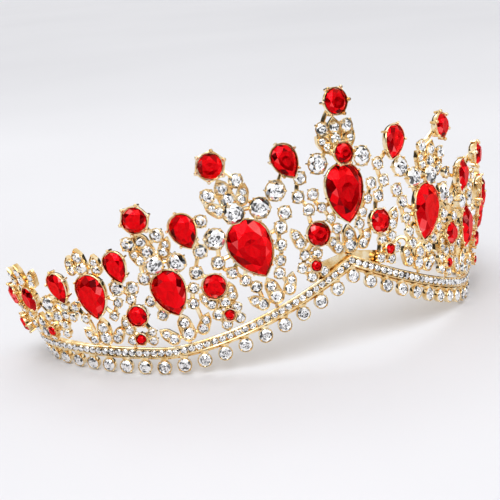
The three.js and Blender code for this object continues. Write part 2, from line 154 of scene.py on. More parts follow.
# Ornaments: foot on the band, lean in degrees, red stones with their height over the foot, and
# clear stones. The paired ones stand on both sides of the axis.
UNITS = [
    dict(
        at=0, lean=0,
        reds=[("pear", PEAR_LARGE, 21.2), ("top", ROUND_8, 49.3), ("second", ROUND_6_HIGH, 33.5)],
        paired=[
            FOOT_SIDE_LEAF, (4.3, 10.8, 3), (6.1, 14.2, 2.6), (8.8, 18, 2.8), (11.3, 22.4, 3.4),
            (8.6, 31.4, 6), (4.9, 41.5, 4), (5.4, 37.6, 2.6, 3.8, 35.7, 3),
        ],
        single=[(0, 41.4, 3.8, 0, 37.8, 3.8)],
    ),
    dict(
        at=25.3, lean=22,
        reds=[("pear", PEAR_LARGE, 21.6), ("top", ROUND_8, 49.8)],
        paired=[
            FOOT_SIDE_LEAF, (4.1, 10.6, 3.2), (6.2, 13.9, 3), (8.6, 17.9, 3.2), (11, 22.6, 3.8),
            (4.9, 42, 4), (5.4, 38.1, 2.6, 3.9, 36.2, 3.2),
        ],
        single=[
            (0, 41.9, 3.8, 0, 38, 4.4), (0.2, 33.8, 6.2), (-7.8, 31.2, 6.2), (8.6, 29.6, 6.2),
            (-14.3, 25.8, 4),
        ],
    ),
    dict(
        at=53, lean=17.5,
        reds=[("pear", PEAR_MIDDLE, 18.7), ("top", ROUND_8, 43.4)],
        paired=[FOOT_SIDE_LEAF, (4.9, 13, 3)],
        single=[
            (2.3, 36.3, 3.6, 1.6, 32.8, 4.2), (-2.9, 36.4, 4), (5.8, 37, 4),
            (-4.2, 33, 2.4, -2.7, 31, 3),
            (5.5, 33.2, 2.2, 4.4, 31, 2.8), (1.2, 28.4, 5.6), (-5.2, 26.7, 5.4), (5.6, 25.4, 3.6),
            (-6.7, 17.4, 3), (6.7, 18.2, 2.8),
        ],
    ),
    dict(
        at=80, lean=6.5,
        reds=[("pear", PEAR_MIDDLE, 19.1)],
        paired=[SMALL_FOOT_SIDE_LEAF, (4.9, 11.9, 2.6), (7.2, 16, 2.6)],
        single=[
            (1.4, 31.8, 3, 1, 28.3, 3.8), (4.3, 30.4, 2.2, 4.2, 28.2, 2.6),
            (-3.2, 29.6, 2.4, -3.4, 27.2, 2.8),
        ],
    ),
    dict(
        at=104.3, lean=2,
        reds=[("pear", PEAR_SMALL, 17.1)],
        paired=[(4.2, 10.6, 2.6)],
        single=[
            (1.4, 26.3, 2.6, 1, 23.3, 3.2), (-3.5, 24.9, 2.2, -2.8, 22.6, 2.6),
            (4.8, 25.2, 2.2, 4.4, 22.8, 2.6), (4.6, 7.4, 2.2, 4, 5, 2.6),
        ],
    ),
]

# Lattices between the ornaments, and last the tail past them, in u and w: red stones with their
# lean, and clear stones.
LATTICES = [
    dict(
        reds=[
            ("drop", DROP_LARGE, 20.6, 54.8, 24),
            ("side", ROUND_7, 11.6, 31.4, 0),
            ("bud", ROUND_3, 13.8, 22, 0),
        ],
        stones=[
            (24.2, 46.4, 6), (15.2, 49, 3.8), (16.6, 43.4, 3.6), (13.4, 39, 3.4),
            (18.9, 32, 2.4, 17.6, 29.4, 3), (16.6, 25.6, 3), (12.4, 25.4, 3),
            (17.8, 21.8, 3), (15, 18.7, 3), (10.8, 19.8, 2.8),
        ],
    ),
    dict(
        reds=[
            ("drop", DROP_LARGE, 52.9, 38, 22),
            ("side", ROUND_7, 45.6, 20.2, 0),
            ("bud", ROUND_3, 41.8, 11.1, 0),
        ],
        stones=[
            (48.2, 40, 3.6), (49, 31, 4), (50.7, 24.6, 3.8), (40.9, 18.6, 2.2, 40.6, 16.6, 2.6),
            (48.7, 16.4, 2.4, 46.8, 14.6, 2.8), (42.9, 14.8, 3), (39.6, 13, 2.8), (45.2, 11.2, 3),
            (42.8, 8, 2.8), (38.8, 9.6, 2.8),
        ],
    ),
    dict(
        reds=[
            ("drop", DROP_SMALL, 72.8, 28.8, 18),
            ("side", ROUND_6, 68.7, 12.8, 0),
            ("bud", ROUND_3, 68.4, 5.3, 0),
        ],
        stones=[
            (74.6, 21.3, 4.4), (69.8, 21.3, 3.6), (70.6, 17.6, 2.8), (73.2, 10, 2.2, 72.2, 7.7, 2.6),
            (71.6, 4.4, 2.6), (65.3, 7, 2.4), (65.2, 4.4, 2.6),
        ],
    ),
    dict(
        reds=[("drop", DROP_SMALL, 91.2, 22.6, 17), ("bud", ROUND_3, 99.4, 6.5, 0)],
        stones=[
            (98, 16.3, 4.6), (92.7, 15.4, 2.8), (90.6, 11.6, 2.6), (93.2, 12.2, 2.8), (96.6, 11.3, 3.4),
            (94.4, 8.4, 2.6), (94.8, 5.4, 2.6), (100.9, 3.5, 2.2),
        ],
    ),
    dict(
        reds=[("tail_drop", DROP_TAIL, 111.8, 17.6, 6), ("tail_side", ROUND_6, 115.4, 6.3, 0)],
        stones=[(112.6, 11.8, 2.6), (117, 11.6, 2.8), (120.3, 7.4, 2.2, 120.3, 4.8, 2.4)],
    ),
]


def turn(u):
    return BEND * abs(u) + BEND_GROWTH * u * u + END_BEND * max(0, abs(u) - END_START) ** 2


def band_rise(u):
    return PEAK_HEIGHT * max(0, 1 - abs(u) / PEAK_HALF_WIDTH) ** PEAK_POWER


def band_slope(u):
    """Slope of the band away from the front, at a distance |u| from it."""
    return (band_rise(abs(u) + 0.01) - band_rise(abs(u))) / 0.01


def centre_line(u):
    """The middle of the band's footprint at u, with w at 0."""
    steps = 64
    side = -1 if u < 0 else 1
    step = abs(u) / steps
    x = y = 0
    for i in range(steps):
        angle = turn((i + 0.5) * step)
        x += math.cos(angle) * step
        y += math.sin(angle) * step
    return Vector((side * x, y, 0))


def sheet_axes(u):
    """Axes of the sheet at u: along the band, up the sheet and straight out of it."""
    side = -1 if u < 0 else 1
    angle = turn(u)
    lean = LEAN_FRONT + LEAN_GROWTH * (u / 100) ** 2
    level = Vector((side * math.sin(angle), -math.cos(angle), 0))
    up = level * math.sin(lean) + Vector((0, 0, math.cos(lean)))
    out = level * math.cos(lean) - Vector((0, 0, math.sin(lean)))
    return up.cross(out), up, out


def place(u, w, off):
    _, up, out = sheet_axes(u)
    return centre_line(u) + up * w + out * off


def stand(u, w, lean=0):
    """Matrix that stands a shape, drawn in x and y with z outwards, on the sheet."""
    along, up, out = sheet_axes(u)
    turned = Matrix((along, up, out)).transposed().to_4x4()
    return Matrix.Translation(place(u, w, 0)) @ turned @ Matrix.Rotation(-math.radians(lean), 4, "Z")


# ---- Outlines ----
def pear_point(width, height, t, grow=0):
    """A point of a pear outline; t runs from 0 at its tip, round the right side and the top, to 1."""
    radius = width / 2
    fall = height - radius
    arc_offset = (fall * fall - radius * radius) / width
    arc_radius = arc_offset + radius
    tip_angle = math.asin(fall / arc_radius)
    centre_y = height / 2 - radius
    if grow and t % 1 == 0:
        return Vector((0, -height / 2 - 1.1 * grow))
    mirrored = t > 0.5
    s = (1 - t if mirrored else t) * 2
    side_share = 0.56
    if s < side_share:
        angle = -tip_angle * (1 - s / side_share)
        x = (arc_radius + grow) * math.cos(angle) - arc_offset
        y = centre_y + (arc_radius + grow) * math.sin(angle)
    else:
        angle = (s - side_share) / (1 - side_share) * math.pi / 2
        x = (radius + grow) * math.cos(angle)
        y = centre_y + (radius + grow) * math.sin(angle)
    return Vector((-x if mirrored else max(x, 0), y))


def outline(cut, count, phase=0, grow=0):
    """Points round a red stone, pear or round, from its lowest point on."""
    width, height = cut[:2]
    points = []
    for i in range(count):
        t = ((i + phase) / count) % 1
        if height > width:
            points.append(pear_point(width, height, t, grow))
        else:
            angle = 2 * math.pi * t - math.pi / 2
            points.append(Vector((math.cos(angle), math.sin(angle))) * (width / 2 + grow))
    return points


def sheet_origin():
    """Place of the sheet's own origin in the part's frame, from the least y and z of the CAD's
    centre pear."""
    _, cut, y = UNITS[0]["reds"][0]
    _, height, back, crown = cut
    matrix = stand(0, band_rise(0) + y)
    tip = matrix @ Vector((0, -height / 2, back))
    table_tip = matrix @ Vector((0, -CAD_TABLE * height / 2, back + crown))
    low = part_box("pear_stone_centre")[0] / MM
    return Vector((0, low.y - min(tip.y, table_tip.y), low.z - tip.z))


ORIGIN = sheet_origin()


# ---- Mesh building ----
class Shape:
    """Collects closed bodies in millimetres, then makes one Blender object of them."""

    def __init__(self):
        self.points = []
        self.faces = []

    def add(self, points, faces, matrix=Matrix()):
        start = len(self.points)
        self.points += [(matrix @ Vector(p)) for p in points]
        self.faces += [tuple(start + i for i in face) for face in faces]

    def rings(self, rings, matrix=Matrix(), looped=False):
        """A skin over matching rings of points: closed with flat ends, or looped back to its start."""
        count = len(rings[0])
        points = [p for ring in rings for p in ring]
        faces = []
        for r in range(len(rings) if looped else len(rings) - 1):
            low = r * count
            high = (r + 1) % len(rings) * count
            for i in range(count):
                after = (i + 1) % count
                faces.append((low + i, low + after, high + after, high + i))
        if not looped:
            last = (len(rings) - 1) * count
            faces.append(tuple(reversed(range(count))))
            faces.append(tuple(range(last, last + count)))
        self.add(points, faces, matrix)

    def lathe(self, profile, sides, matrix=Matrix()):
        """A round body: the profile is of (radius, z), from the edge of its flat back round to the
        edge of its flat front, or of the floor of its hollow."""
        rings = []
        for radius, z in profile:
            ring = []
            for i in range(sides):
                angle = 2 * math.pi * i / sides
                ring.append((radius * math.cos(angle), radius * math.sin(angle), z))
            rings.append(ring)
        self.rings(rings, matrix)

    def ball(self, centre, radius, matrix):
        profile = []
        for k in range(1, 6):
            angle = math.pi * k / 6
            profile.append((radius * math.sin(angle), -radius * math.cos(angle)))
        self.lathe(profile, 8, matrix @ Matrix.Translation(centre))

    def tube(self, path, radius, sides=6):
        """A round wire through a list of points; radius may be a list."""
        radii = radius if isinstance(radius, (list, tuple)) else [radius] * len(path)
        rings = []
        normal = None
        for i, point in enumerate(path):
            before = path[max(i - 1, 0)]
            after = path[min(i + 1, len(path) - 1)]
            along = (after - before).normalized()
            if normal is None:
                helper = Vector((0, 0, 1)) if abs(along.z) < 0.9 else Vector((1, 0, 0))
                normal = along.cross(helper).normalized()
            normal = (normal - along * normal.dot(along)).normalized()
            other = along.cross(normal)
            ring = []
            for k in range(sides):
                angle = 2 * math.pi * k / sides
                ring.append(point + (normal * math.cos(angle) + other * math.sin(angle)) * radii[i])
            rings.append(ring)
        self.rings(rings)

    def make(self, name, material, smooth_angle=None):
        """The Blender object. Edges under smooth_angle, in degrees, are smooth; without it none are."""
        mesh = bpy.data.meshes.new(name)
        mesh.from_pydata([(p + ORIGIN) * MM for p in self.points], [], self.faces)
        work = bmesh.new()
        work.from_mesh(mesh)
        bmesh.ops.remove_doubles(work, verts=work.verts, dist=1e-7)
        bmesh.ops.dissolve_degenerate(work, edges=work.edges, dist=1e-7)
        bmesh.ops.recalc_face_normals(work, faces=work.faces)
        if smooth_angle is not None:
            for face in work.faces:
                face.smooth = True
            for edge in work.edges:
                if len(edge.link_faces) == 2:
                    edge.smooth = edge.calc_face_angle(0) < math.radians(smooth_angle)
        work.to_mesh(mesh)
        work.free()
        mesh.materials.append(material)
        piece = bpy.data.objects.new(name, mesh)
        bpy.context.scene.collection.objects.link(piece)
        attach(piece, "root")
        return piece


# ---- Materials ----
def new_material(name):
    material = bpy.data.materials.new(name)
    material.use_nodes = True
    tree = material.node_tree
    return material, tree, tree.nodes["Principled BSDF"]


def ramp(tree, source, stops):
    node = tree.nodes.new("ShaderNodeValToRGB")
    elements = node.color_ramp.elements
    while len(elements) < len(stops):
        elements.new(0.5)
    for element, (position, colour) in zip(elements, stops):
        element.position = position
        element.color = (*colour, 1)
    tree.links.new(source, node.inputs["Fac"])
    return node.outputs["Color"]


def noise(tree, scale, detail=2.0):
    """Noise in object space; scale is in features per metre."""
    coordinates = tree.nodes.new("ShaderNodeTexCoord")
    node = tree.nodes.new("ShaderNodeTexNoise")
    node.inputs["Scale"].default_value = scale
    node.inputs["Detail"].default_value = detail
    tree.links.new(coordinates.outputs["Object"], node.inputs["Vector"])
    return node.outputs["Fac"]


def gold_material():
    """Champagne plating: shifts of tone from pale to deep, and a fine cast surface."""
    material, tree, shader = new_material("champagne_gold")
    stops = [(0.36, (0.78, 0.50, 0.19)), (0.5, (0.93, 0.69, 0.36)), (0.64, (1, 0.86, 0.59))]
    tone = ramp(tree, noise(tree, 420), stops)
    tree.links.new(tone, shader.inputs["Base Color"])
    shine = ramp(tree, noise(tree, 700), [(0.3, (0.08,) * 3), (0.7, (0.18,) * 3)])
    tree.links.new(shine, shader.inputs["Roughness"])
    bump = tree.nodes.new("ShaderNodeBump")
    bump.inputs["Strength"].default_value = 0.12
    bump.inputs["Distance"].default_value = 0.0001
    tree.links.new(noise(tree, 2400, 3), bump.inputs["Height"])
    tree.links.new(bump.outputs["Normal"], shader.inputs["Normal"])
    shader.inputs["Metallic"].default_value = 1
    return material


def stone_material(name, stops, metallic, roughness, edge, coat):
    """Foil-backed glass under a clear polished coat: every facet takes its own painted reflection, a
    shade of colour from the stops, and edge is the tint of what it mirrors at a glancing angle."""
    material, tree, shader = new_material(name)
    # The facet number picks the facet's painted reflection from the stops.
    facet = tree.nodes.new("ShaderNodeAttribute")
    facet.attribute_name = "facet"
    tree.links.new(ramp(tree, facet.outputs["Fac"], stops), shader.inputs["Base Color"])
    shine = ramp(tree, noise(tree, 900), [(0.3, (roughness,) * 3), (0.7, (roughness * 2,) * 3)])
    tree.links.new(shine, shader.inputs["Roughness"])
    shader.inputs["Metallic"].default_value = metallic
    shader.inputs["Specular Tint"].default_value = (*edge, 1)
    shader.inputs["Coat Weight"].default_value = coat
    shader.inputs["Coat Roughness"].default_value = 0.03
    shader.inputs["Coat IOR"].default_value = 1.55
    return material


GOLD = gold_material()
RED = stone_material(
    "red_glass",
    # From dark to bright red: painted reflection and painted shade of the facets over the stone's own red.
    # The pale pink last stop is a painted highlight.
    stops=[
        (0, (0.06, 0.0, 0.001)), (0.2, (0.4, 0.0, 0.002)), (0.6, (0.84, 0.0, 0.003)),
        (0.88, (1, 0.002, 0.008)), (1, (1, 0.16, 0.16)),
    ],
    metallic=0.8, roughness=0.12, edge=(1, 0, 0.01), coat=0.1,
)
CLEAR = stone_material(
    "clear_glass",
    # From black to white: painted reflections and painted shade of the facets, in place of the clear
    # stone's own colour.
    stops=[
        (0, (0.01, 0.01, 0.01)), (0.12, (0.06, 0.06, 0.06)), (0.24, (0.7, 0.7, 0.72)),
        (0.5, (1, 1, 1)),
    ],
    metallic=0.85, roughness=0.05, edge=(1, 1, 1), coat=1,
)


# ---- Stones ----
# Rings of facets inside the table: share of the outline, and depth as a share of the crown.
CLEAR_TABLE = [(0.47, 0.2), (0.3, 0.02), (0.15, 0.16)]
SMALL_TABLE = [(0.4, 0.22), (0.2, 0.02)]
RED_TABLE = [(0.36, 0.07)]
FLAT_BACK = 0.72  # share of the outline
GIRDLE_EDGE = 0.12  # height of the edge round the stone
CROWN_RING = (0.84, 0.55)  # share of the outline, and height as a share of the crown
TABLE = 0.64
TABLE_DIP = 0.03  # depth of its middle point, as a share of the crown
CLEAR_CROWN = 0.17  # of a clear stone, as a share of its diameter
CLEAR_DEPTH = 0.35
RED_GIRDLE = 0.45  # over the back of a red stone
RED_CROWN_LESS = 0.25  # than the CAD's, whose stones have no girdle
FACING = 0.9  # least cosine to the front of a facet of the table
TABLE_NUMBERS = (0.42, 0.3)  # least facet number on the table, a steadier painted reflection, and their spread


def cut_stone(shape, cut_outline, girdle, crown, back, matrix, inner_rings):
    """A brilliant cut from its outline with the y of its middle, the heights of its girdle and its
    back, and the height of its crown over the girdle. The table is cut with the rings of facets
    that would show through it from behind."""
    outer, middle_y = cut_outline
    count = len(outer) // 2
    odd = outer[1::2]
    even = outer[0::2]

    def ring(points, scale, height):
        return [Vector((p.x * scale, p.y * scale, height)) for p in points]

    top = girdle + crown
    points = ring(outer, FLAT_BACK, back) + ring(outer, 1, girdle - GIRDLE_EDGE) + ring(outer, 1, girdle)
    mid = len(points)
    points += ring(odd, CROWN_RING[0], girdle + CROWN_RING[1] * crown)
    table = len(points)
    points += ring(even, TABLE, top)
    faces = [tuple(reversed(range(2 * count)))]
    for level in (0, 2 * count):
        for i in range(2 * count):
            a = level + i
            b = level + (i + 1) % (2 * count)
            faces.append((a, b, b + 2 * count, a + 2 * count))
    rim = 4 * count
    for k in range(count):
        after = (k + 1) % count
        before = (k - 1) % count
        left = rim + 2 * k
        middle = left + 1
        right = rim + (2 * k + 2) % (2 * count)
        faces.append((left, middle, mid + k))
        faces.append((middle, right, mid + k))
        faces.append((left, mid + k, table + k, mid + before))
        faces.append((mid + k, table + after, table + k))
    last = table
    for number, (scale, depth) in enumerate(inner_rings):
        start = len(points)
        points += ring(even if number % 2 else odd, scale, top - depth * crown)
        for k in range(count):
            after = (k + 1) % count
            if number % 2:
                faces.append((last + k, start + after, start + k))
                faces.append((last + k, last + after, start + after))
            else:
                faces.append((last + k, last + after, start + k))
                faces.append((last + after, start + after, start + k))
        last = start
    points.append(Vector((0, middle_y, top - TABLE_DIP * crown)))
    for k in range(count):
        faces.append((last + k, last + (k + 1) % count, len(points) - 1))
    shape.add(points, faces, matrix)


def round_outline(diameter, count, turned):
    """Twice count points round a clear stone."""
    points = []
    for i in range(2 * count):
        angle = math.pi * i / count + turned
        points.append(Vector((math.cos(angle), math.sin(angle))) * diameter / 2)
    return points


def paint_facet_reflections(piece, seed, front=None):
    """Gives each facet a number of its own, which its material reads as a painted reflection: a shade
    of colour from dark to bright. The facets that look straight to the front, the table, differ less
    than the ones round them."""
    draw = random.Random(seed)
    numbers = []
    for polygon in piece.data.polygons:
        number = draw.random()
        if front and polygon.normal.dot(front) > FACING:
            number = TABLE_NUMBERS[0] + TABLE_NUMBERS[1] * number
        numbers.append(number)
    values = piece.data.attributes.new("facet", "FLOAT", "FACE")
    values.data.foreach_set("value", numbers)


def clear_stone(stones, x, y, diameter, front, matrix):
    """A clear round brilliant whose table is at the height front. Returns the height of its girdle."""
    big = diameter > BIG_CLEAR
    crown = CLEAR_CROWN * diameter
    girdle = front - crown
    back = girdle - CLEAR_DEPTH * diameter
    turned = 0.37 * (x + y) + 1.3 * diameter
    cut = (round_outline(diameter, 8 if big else 6, turned), 0)
    local = matrix @ Matrix.Translation((x, y, 0))
    cut_stone(stones, cut, girdle, crown, back, local, CLEAR_TABLE if big else SMALL_TABLE)
    return girdle


def ball_prong(gold, x, y, low, high, radius, matrix):
    """A prong: a tapered post with a ball on its end."""
    base = matrix @ Vector((x, y, low))
    head = matrix @ Vector((x, y, high))
    gold.tube([base, (base + head) / 2, head], [radius * 0.8, radius * 0.75, radius * 0.7])
    gold.ball((x, y, high), radius, matrix)


def round_cup(gold, x, y, diameter, girdle, matrix, prongs, prong_radius):
    """A thin open cup with a rolled rim, and ball prongs over the edge of its stone."""
    radius = diameter / 2
    rim = girdle + 0.12
    profile = [
        (radius * 0.5, CUP_BACK), (radius * 0.7, CUP_BACK),
        (radius * 0.95, CUP_BACK + 0.45 * (rim - CUP_BACK)),
        (radius + 0.2, rim - 0.4), (radius + 0.3, rim - 0.15), (radius + 0.22, rim),
        (radius + 0.08, rim), (radius + 0.03, rim - 0.2), (radius * 0.8, girdle - 0.25 * diameter),
        (radius * 0.5, girdle - 0.38 * diameter),
    ]
    local = matrix @ Matrix.Translation((x, y, 0))
    gold.lathe(profile, 16 if diameter > BIG_CLEAR else 12, local)
    reach = radius + PRONG_SEAT
    for i in range(prongs):
        angle = 2 * math.pi * (i + 0.5) / prongs + 0.4 * diameter
        cx, cy = reach * math.cos(angle), reach * math.sin(angle)
        ball_prong(gold, cx, cy, CUP_BACK + 0.8, girdle + 0.2, prong_radius, local)


def clear_setting(gold, stones, diameter, matrix):
    """A clear stone in its cup."""
    glass = diameter + GLASS_GROWTH
    if diameter > BIG_CLEAR:
        girdle = clear_stone(stones, 0, 0, glass, BIG_CLEAR_FRONT, matrix)
        round_cup(gold, 0, 0, glass, girdle, matrix, 6, 0.4)
    else:
        girdle = clear_stone(stones, 0, 0, glass, CLEAR_FRONT, matrix)
        round_cup(gold, 0, 0, glass, girdle, matrix, 4, 0.11 * glass)


def leaf_cell(gold, stones, leaf, matrix):
    """Two clear stones in one pointed cell with a raised gold edge; the second is at the origin."""
    x, y, small, large = leaf
    start = math.atan2(y, x)
    round_steps = 8
    round_turn = math.pi - 0.24
    point = 0.9

    def edge(grow):
        points = []
        for i in range(round_steps + 1):
            angle = start + math.pi - round_turn / 2 + round_turn * i / round_steps
            points.append(Vector((math.cos(angle), math.sin(angle))) * (large / 2 + grow))
        for angle in (-math.pi / 2 + 0.1, -0.9, 0, 0.9, math.pi / 2 - 0.1):
            reach = small / 2 + grow + (point if angle == 0 else 0)
            turned = start + angle
            points.append(Vector((x, y)) + Vector((math.cos(turned), math.sin(turned))) * reach)
        return points

    # How far the edge stands outside the stones, and its height.
    levels = [(0.35, 0.3), (0.5, 1.2), (0.58, 1.85), (0.5, 2.1), (0.34, 2.1), (0.26, 1.9), (0.22, 1.6)]
    rings = [[Vector((p.x, p.y, height)) for p in edge(grow)] for grow, height in levels]
    gold.rings(rings, matrix)
    fit = min(1.08, (math.hypot(x, y) + 0.1) / (small / 2 + large / 2))
    for cx, cy, diameter in ((x, y, small * fit), (0, 0, large * fit)):
        girdle = clear_stone(stones, cx, cy, diameter, CLEAR_FRONT, matrix)
        round_cup(gold, cx, cy, diameter, girdle - 0.1, matrix, 4, 0.1 * diameter)


def red_stone(cut, matrix, name):
    """A red stone as a piece of its own, in the place of the CAD's."""
    width, height, back, crown = cut
    count = 10 if width > WIDE_RED else 8
    if width < SMALL_RED:
        count = 6
    middle_y = 0.1 * height if height > width else 0
    stone = Shape()
    stone_outline = (outline(cut, 2 * count), middle_y)
    crown -= RED_CROWN_LESS
    cut_stone(stone, stone_outline, back + RED_GIRDLE, crown, back, matrix, RED_TABLE)
    piece = stone.make("gem_" + name, RED)
    paint_facet_reflections(piece, name, matrix.to_3x3() @ Vector((0, 0, 1)))
    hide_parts(name)


def red_setting(gold, cut, matrix):
    """A bezel that follows the stone's outline, with prongs over its edge. The high ones are cups
    that slanting wires hold out of the sheet, and the round ones of them have a wire from prong to
    prong."""
    width, height, back = cut[:3]
    tall = height > width
    high = back >= HIGH_BACK
    top = high and not tall
    rim = back + 0.62
    # How far the wall stands outside the stone, and its height, from the back to the hollow.
    if high:
        levels = [
            (-0.3 * width, back - 2.3), (-0.16 * width, back - 2.3), (-0.04 * width, back - 1.8),
            (0.25, back - 1), (0.52, back - 0.2),
        ]
    else:
        levels = [
            (-0.25 * width, CUP_BACK), (-0.15 * width, CUP_BACK), (0.05, CUP_BACK + 0.25 * back),
            (0.4, CUP_BACK + 0.6 * back), (0.58, back),
        ]
    levels += [
        (0.62, rim - 0.15), (0.5, rim), (0.3, rim), (0.16, rim - 0.2), (0.16, back - 0.12),
        (-0.3 * width, back - 0.2),
    ]
    steps = 36 if width > SMALL_RED else 16
    rings = []
    for grow, level in levels:
        ring = outline(cut, steps, 0, max(grow, 0))
        shrink = 1 + min(grow, 0) * 2 / width
        rings.append([Vector((p.x * shrink, p.y * shrink, level)) for p in ring])
    gold.rings(rings, matrix)
    if width < SMALL_RED:
        prongs, ball, reach = 5, 0.3, 0.55
    elif tall:
        prongs, ball, reach = (7, 0.42, 0.6) if width > WIDE_RED else (5, 0.5, 0.8)
    else:
        prongs, ball, reach = (6, 0.62, 0.95) if top else (6, 0.45, 0.6)
    low = back - 1.6 if high else CUP_BACK + 0.5 * back
    bases = [Vector((p.x, p.y, low)) for p in outline(cut, prongs, 0.5, 0.6 * reach)]
    tips = [Vector((p.x, p.y, rim + 0.1)) for p in outline(cut, prongs, 0.5, reach)]
    for base, tip in zip(bases, tips):
        shoulder = base.lerp(tip, 0.6) + Vector((0, 0, -0.1))
        gold.tube([matrix @ base, matrix @ shoulder, matrix @ tip], [0.75 * ball, 0.7 * ball, 0.6 * ball])
        gold.ball(tip, ball, matrix)
    if top:
        corners = [matrix @ (tip - Vector((0, 0, 0.5))) for tip in tips]
        for k in range(prongs):
            gold.tube([corners[k - 1], corners[k]], 0.32)


def bowed_wire(gold, start, end, bow):
    """A round wire from one place (u, w, off) to another, bowed to one side in the sheet."""
    steps = 6
    path = []
    along = (end - start).to_2d().normalized()
    side = Vector((-along.y, along.x, 0))
    for i in range(steps + 1):
        t = i / steps
        spot = start.lerp(end, t) + side * bow * 4 * t * (1 - t)
        path.append(place(*spot))
    gold.tube(path, WIRE_RADIUS)


def gap_between(a, b):
    """Gap in the sheet between two seats."""
    return math.hypot(a[0] - b[0], a[1] - b[1]) - a[2] - b[2]


def lattice_wires(gold, seats):
    """The shortest wires that join all the seats, and more between seats that are close to each
    other. A seat is (u, w, radius, off): where wires reach a cup, and how far the cup covers them."""
    reached = [seats[0]]
    waiting = list(seats[1:])
    pairs = []
    while waiting:
        _, a, b = min((gap_between(a, b), a, b) for a in reached for b in waiting)
        pairs.append((a, b))
        reached.append(b)
        waiting.remove(b)
    for i, a in enumerate(seats):
        for b in seats[i + 1:]:
            if gap_between(a, b) < WIRED_GAP and (a, b) not in pairs and (b, a) not in pairs:
                pairs.append((a, b))
    for i, (a, b) in enumerate(pairs):
        span = math.hypot(a[0] - b[0], a[1] - b[1])
        bow = (WIRE_BOW if i % 2 else -WIRE_BOW) * min(1, span / FULL_BOW_SPAN)
        bowed_wire(gold, Vector((a[0], a[1], a[3])), Vector((b[0], b[1], b[3])), bow)


def foot_wire(gold, seat):
    """A foot from a seat straight down to just above the band."""
    u, w = seat[:2]
    slope = math.atan(band_slope(u))
    low = band_rise(u) + BAND_HEIGHT / 2 / math.cos(slope) + 0.2
    path = [place(u, height, FOOT_OFF) for height in (w, (w + low) / 2, low)]
    gold.tube(path, [0.5, 0.45, 0.6], 8)


def red_seat(cut, u, w):
    """A high stone's wires slant up to its cup."""
    off = cut[2] - HIGH_WIRE if cut[2] >= HIGH_BACK else WIRE_OFF
    return u, w, cut[0] / 2, off


def clear_seat(u, w, diameter):
    return u, w, diameter / 2 + CUP_WALL, WIRE_OFF


def frame_pieces(name, stones_list, reds, feet):
    """Gold settings and clear stones of one ornament or lattice, and its red stones."""
    gold = Shape()
    stones = Shape()
    seats = []
    for stone in stones_list:
        if len(stone) == 6:
            u1, w1, d1, u2, w2, d2 = stone
            matrix = stand(u2, w2)
            leaf_cell(gold, stones, (u1 - u2, w1 - w2, d1, d2), matrix)
            seats.append(clear_seat(u2, w2, d2))
        else:
            u, w, diameter = stone
            clear_setting(gold, stones, diameter, stand(u, w))
            seats.append(clear_seat(u, w, diameter))
    for red_name, cut, u, w, lean in reds:
        matrix = stand(u, w, lean)
        red_setting(gold, cut, matrix)
        red_stone(cut, matrix, red_name)
        seats.append(red_seat(cut, u, w))
    lattice_wires(gold, seats)
    for seat in feet:
        foot_wire(gold, seat)
    setting = gold.make("setting_" + name, GOLD, SMOOTH_ANGLE)
    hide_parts(name)
    clear = stones.make("clear_stones_" + name, CLEAR)
    paint_facet_reflections(clear, name)


def mirrored(stone):
    """The stone, or both stones of a leaf, on the other side."""
    return tuple(-v if i % 3 == 0 else v for i, v in enumerate(stone))


def unit_parts(unit, side, suffix):
    """Clear stones, red stones and the seat over the foot of one ornament, on the sheet."""
    lean = math.radians(unit["lean"])
    base = band_rise(unit["at"])

    def spot(x, y):
        u = side * (unit["at"] + x * math.cos(lean) + y * math.sin(lean))
        return u, base - x * math.sin(lean) + y * math.cos(lean)

    def on_sheet(stone):
        placed = []
        for i in range(0, len(stone), 3):
            placed += [*spot(stone[i], stone[i + 1]), stone[i + 2]]
        return tuple(placed)

    paired = unit["paired"]
    stones_list = [
        on_sheet(s) for s in [FOOT_LEAF, *paired, *(mirrored(s) for s in paired), *unit["single"]]
    ]
    reds = [
        (f"{kind}_stone_{suffix}", cut, *spot(0, y), side * unit["lean"]) for kind, cut, y in unit["reds"]
    ]
    foot_seat = on_sheet(FOOT_LEAF)[3:]
    return stones_list, reds, [foot_seat]


def lattice_parts(lattice, side, suffix):
    """Clear stones and red stones of one lattice, and the seat nearest to the band, for its foot."""
    stones_list = [s if side > 0 else mirrored(s) for s in lattice["stones"]]
    reds = [
        (f"{kind}_stone_{suffix}", cut, side * u, w, side * lean)
        for kind, cut, u, w, lean in lattice["reds"]
    ]
    ends = [s[-3:] for s in stones_list]
    lowest = min(ends, key=lambda s: s[1] - band_rise(s[0]))
    return stones_list, reds, [lowest]


def make_frames():
    """The ornaments and lattices. The tail past the last ornament is part of it."""
    frame_pieces("ornament_centre", *unit_parts(UNITS[0], 1, "centre"))
    for side, word in ((-1, "left"), (1, "right")):
        for number in range(1, len(UNITS)):
            suffix = f"{word}_{number}"
            frame_pieces("lattice_" + suffix, *lattice_parts(LATTICES[number - 1], side, suffix))
            stones_list, reds, feet = unit_parts(UNITS[number], side, suffix)
            if number == len(UNITS) - 1:
                tail_stones, tail_reds, tail_feet = lattice_parts(LATTICES[number], side, suffix)
                stones_list += tail_stones
                reds += tail_reds
                feet += tail_feet
            frame_pieces("ornament_" + suffix, stones_list, reds, feet)


# ---- Band and fringe ----
def along_band(shape, section):
    """A section, x outwards and y up, carried along the band."""
    steps = round(HALF_LENGTH / BAND_STEP)
    rings = []
    for i in range(-steps, steps + 1):
        u = i * HALF_LENGTH / steps
        stretch = 1 / math.cos(math.atan(band_slope(u)))
        rings.append([place(u, band_rise(u) + y * stretch, x) for x, y in section])
    shape.rings(rings)


def stand_on_band(u):
    """Matrix that stands a shape on the middle of the band, tilted with it."""
    side = -1 if u < 0 else 1
    return stand(u, band_rise(u), -side * math.degrees(math.atan(band_slope(u))))


def rounded(cx, cy, radius, start, end, steps=4):
    """Points of an arc, with its angles in degrees."""
    points = []
    for i in range(steps + 1):
        angle = math.radians(start + (end - start) * i / steps)
        points.append((cx + radius * math.cos(angle), cy + radius * math.sin(angle)))
    return points


